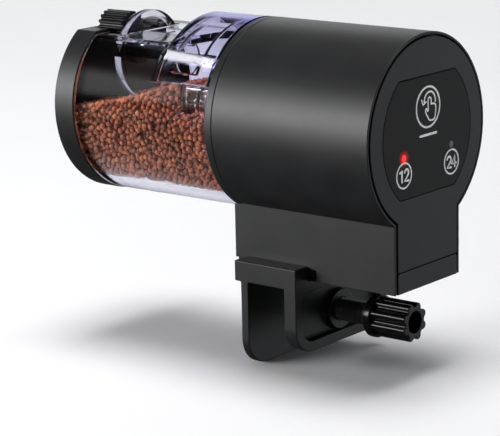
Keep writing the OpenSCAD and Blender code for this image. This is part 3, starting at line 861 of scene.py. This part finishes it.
def make_lights(satin_pieces, drum, door, gate):
    """Softboxes at the left, back and top; the satin black, the drum and its door have their own."""
    key = add_light("key", SIDE_PLACE, LAMP_TARGET, 1.0, 0.42, KEY_WATTS)
    sheen = add_light("sheen", SIDE_PLACE, LAMP_TARGET, 1.0, 0.42, SHEEN_WATTS)
    band = add_light("drum band", BAND_PLACE, LAMP_TARGET, 1.4, 0.56, BAND_WATTS)
    glint = add_light("door glint", GLINT_PLACE, LAMP_TARGET, 0.8, 0.13, GLINT_WATTS)
    back = add_light("back", BACK_PLACE, LAMP_TARGET, 1.2, 0.5, BACK_WATTS)
    add_light("top", TOP_PLACE, TOP_TARGET, 2.0, 2.0, TOP_WATTS)
    light_only(key, [drum, door, gate], False)
    light_only(back, [drum, door, gate], False)
    light_only(sheen, satin_pieces, True)
    light_only(band, [drum, door], True)
    light_only(glint, [door], True)


def make_world():
    """Dim room with a pale backdrop behind the object, brightest near the horizon."""
    world = bpy.data.worlds.new("studio")
    world.use_nodes = True
    tree = world.node_tree
    direction = tree.nodes.new("ShaderNodeTexCoord")
    split = tree.nodes.new("ShaderNodeSeparateXYZ")
    tree.links.new(direction.outputs["Generated"], split.inputs["Vector"])
    tilt = combined(tree, "ABSOLUTE", split.outputs["Z"])
    level = faded(tree, tilt, 0.60, 0.15)
    behind = faded(tree, split.outputs["Y"], -0.35, 0.55)
    glow = combined(tree, "MULTIPLY", level, behind)
    sky = tree.nodes["Background"]
    sky.inputs["Color"].default_value = (0.95, 0.97, 1.0, 1)
    tree.links.new(faded(tree, glow, 0.0, 1.0, SKY_DIM, SKY_GLOW), sky.inputs["Strength"])
    bpy.context.scene.world = world


def make_camera():
    """Camera at the left front, a little above the object."""
    back = Vector(CAMERA_BACK).normalized()
    roll = CAMERA_ROLL
    right = Vector((0, 0, 1)).cross(back).normalized()
    up = back.cross(right)
    right, up = (
        math.cos(roll) * right + math.sin(roll) * up,
        math.cos(roll) * up - math.sin(roll) * right,
    )
    data = bpy.data.cameras.new("camera")
    data.sensor_width = 36
    data.lens = CAMERA_LENS
    data.clip_end = 20
    camera = bpy.data.objects.new("camera", data)
    turn = Matrix((right, up, back)).transposed().to_4x4()
    camera.matrix_world = Matrix.Translation(Vector(CAMERA_PLACE)) @ turn
    bpy.context.scene.collection.objects.link(camera)
    bpy.context.scene.camera = camera


make_camera()
make_world()
make_floor()
bpy.context.scene.view_settings.view_transform = "Standard"

# ---------- Finishes ----------

black = plastic(
    "satin black", (0.0055, 0.0057, 0.0062), (0.0080, 0.0082, 0.0088), (0.36, 0.44), 5200, 0.05, 0.26
)
gloss_black = plastic(
    "gloss black", (0.003, 0.003, 0.0033), (0.005, 0.005, 0.0054), (0.16, 0.24), 900, 0.02, 0.20
)
# Painted light: the black of the clamp screw's thread and collar is painted lighter than the other
# black parts, standing in for light on them where they sit in shade under the base block.
thread_black_painted_light = plastic(
    "thread black, painted lighter", (0.020, 0.020, 0.021), (0.030, 0.030, 0.031), (0.22, 0.30), 900, 0.02, 0.5
)
nylon = plastic("natural nylon", (0.66, 0.65, 0.58), (0.76, 0.75, 0.68), (0.38, 0.5), 2500, 0.05)
led_white = plastic("led package", (0.7, 0.7, 0.64), (0.8, 0.8, 0.75), (0.3, 0.4), 3000, 0.03)
leads = plastic(
    "lead insulation", (0.30, 0.012, 0.012), (0.42, 0.02, 0.018), (0.35, 0.5), 2500, 0.03
)
ink = plastic("panel ink", (0.78, 0.78, 0.78), (0.88, 0.88, 0.88), (0.4, 0.5), 4000, 0.01)
steel = metal("zinc plate", (0.50, 0.51, 0.53), (0.68, 0.69, 0.71), (0.2, 0.36), 900)
brass = metal("turned brass", (0.55, 0.38, 0.14), (0.72, 0.53, 0.22), (0.2, 0.34), 900)
drum_clear = clear_plastic(
    "clear styrene", (0.60, 0.60, 0.88), 30, (0.92, 0.92, 0.95), (0.0, 0.02)
)
door_clear = clear_plastic(
    "violet clear styrene", (0.52, 0.49, 0.90), 300, (0.80, 0.80, 0.90), (0.0, 0.02)
)
gate_clear = clear_plastic(
    "smoked clear styrene", (0.45, 0.43, 0.62), 150, (0.85, 0.85, 0.92), (0.0, 0.02)
)
food = pellet_material()
red_lamp = lamp_material(
    "lit red lens", (0.20, 0.002, 0.002), (0.30, 0.003, 0.003), (1.0, 0.002, 0.002), 0.9
)
# Painted glow: the unlit smoked lens is given a faint grey emission.
grey_lens_painted_glow = lamp_material(
    "smoked lens, faint painted glow", (0.03, 0.03, 0.032), (0.05, 0.05, 0.052), (0.4, 0.4, 0.4), 0.01
)
board = board_material()
cell_left = banded_material(
    "left cell sleeve", (0.62, 0.30, 0.12), (0.02, 0.05, 0.14), -9.5, 40.0
)
cell_right = banded_material(
    "right cell sleeve", (0.62, 0.30, 0.12), (0.02, 0.05, 0.14), 36.3, -13.2
)
lamp_low, lamp_high = box_mm("led_lens_12h")
lamp_middle = (lamp_low + lamp_high) / 2
# The panel carries a painted red glow round the lit lamp.
panel_gloss_painted_glow = panel_material((front_x * MM, lamp_middle.y * MM, lamp_middle.z * MM), 3.4)

# ---------- The feeder ----------

satin = [
    moulding("clamp_bracket", black, 0.35),
    moulding("clamp_pad", black, 0.3),
    moulding("housing_shell", black, 0.2),
    moulding("rear_cover", black, 0.25),
    moulding("front_cover", black, 0.2),
    moulding("battery_door", black, 0.2),
    moulding("end_cap", black, 0.45, 3),
]
drum_piece = moulding("drum", drum_clear, 0.22)
door_piece = moulding("fill_door", door_clear, 0.3, 3)
gate_piece = moulding("dosing_gate", gate_clear, 0.18)
make_lights(satin, drum_piece, door_piece, gate_piece)
moulding("clamp_knob", gloss_black, 0.35, 3)
clamp_screw_piece(thread_black_painted_light)
moulding("touch_panel", panel_gloss_painted_glow, 0.12)
panel_marks(ink)
lens_piece("led_lens_12h", red_lamp)
lens_piece("led_lens_24h", grey_lens_painted_glow)
moulding("regulator_grip", gloss_black, 0.15)
moulding("drive_hub", black, 0.15)
food_pieces(food)

CAD_FINISHES = {
    gloss_black: ("regulator_shaft", "position_sensor", "board_chips"),
    steel: (
        "rear_cover_screws", "battery_springs", "battery_contacts", "gearbox_screws", "gear_axles",
        "motor", "board_screws", "touch_springs", "position_magnet",
    ),
    brass: ("output_bush", "motor_pinion"),
    nylon: ("gearbox_plate", "first_gear", "second_gear", "output_gear"),
    led_white: ("indicator_leds",),
    leads: ("battery_leads", "motor_leads"),
    board: ("control_board",),
    cell_left: ("battery_left",),
    cell_right: ("battery_right",),
}
for finish, names in CAD_FINISHES.items():
    for name in names:
        for place in frame["nodes"][name].material_slots:
            place.material = finish
